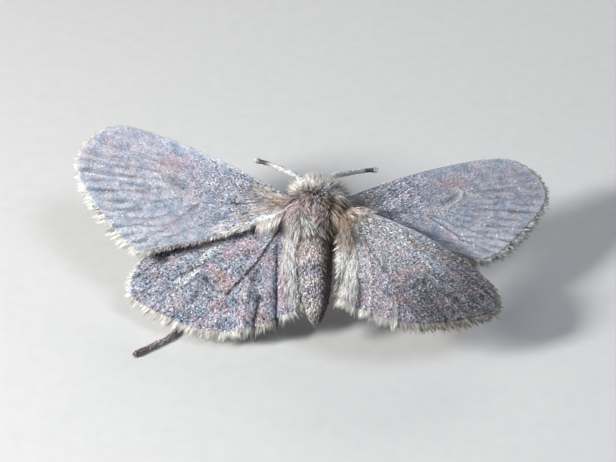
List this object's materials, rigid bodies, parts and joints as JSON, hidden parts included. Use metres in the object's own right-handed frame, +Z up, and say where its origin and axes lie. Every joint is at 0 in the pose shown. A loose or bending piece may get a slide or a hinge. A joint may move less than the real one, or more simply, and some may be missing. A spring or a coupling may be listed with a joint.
{
  "type": "grey moth",
  "caption": "Small grey furry-bodied moth at life size, resting on its feet with its wings spread, as a still museum model.",
  "frame": {"origin": "middle of the outline seen from above, on the floor the feet stand on", "axes": "+X to the moth's right, along the wing span; +Y the way its head points; +Z up"},
  "size_m": [0.0352, 0.0185, 0.0092],
  "materials": {
    "wing_scales": "pale blue-grey overlapping scales with a faint pearly sparkle, pinkish and cream streaks and a cream fringe",
    "body_hair": "soft matt hair, brown, pink-grey and cream",
    "head_hair": "soft matt cream hair",
    "leg_scales": "brown and grey scales in faint bands",
    "antenna_scales": "pale grey scales, darker near the tip",
    "eye_facets": "glossy near-black brown, finely faceted"
  },
  "bodies": {
    "root": {"head": "head_hair", "thorax": "body_hair", "abdomen": "body_hair", "eye_left": "eye_facets", "eye_right": "eye_facets", "palp_left": "head_hair", "palp_right": "head_hair", "antenna_left": "antenna_scales", "antenna_right": "antenna_scales", "forewing_left": "wing_scales", "forewing_right": "wing_scales", "hindwing_left": "wing_scales", "hindwing_right": "wing_scales", "foreleg_left": "leg_scales", "foreleg_right": "leg_scales", "midleg_left": "leg_scales", "midleg_right": "leg_scales", "hindleg_left": "leg_scales", "hindleg_right": "leg_scales"}
  },
  "joints": []
}
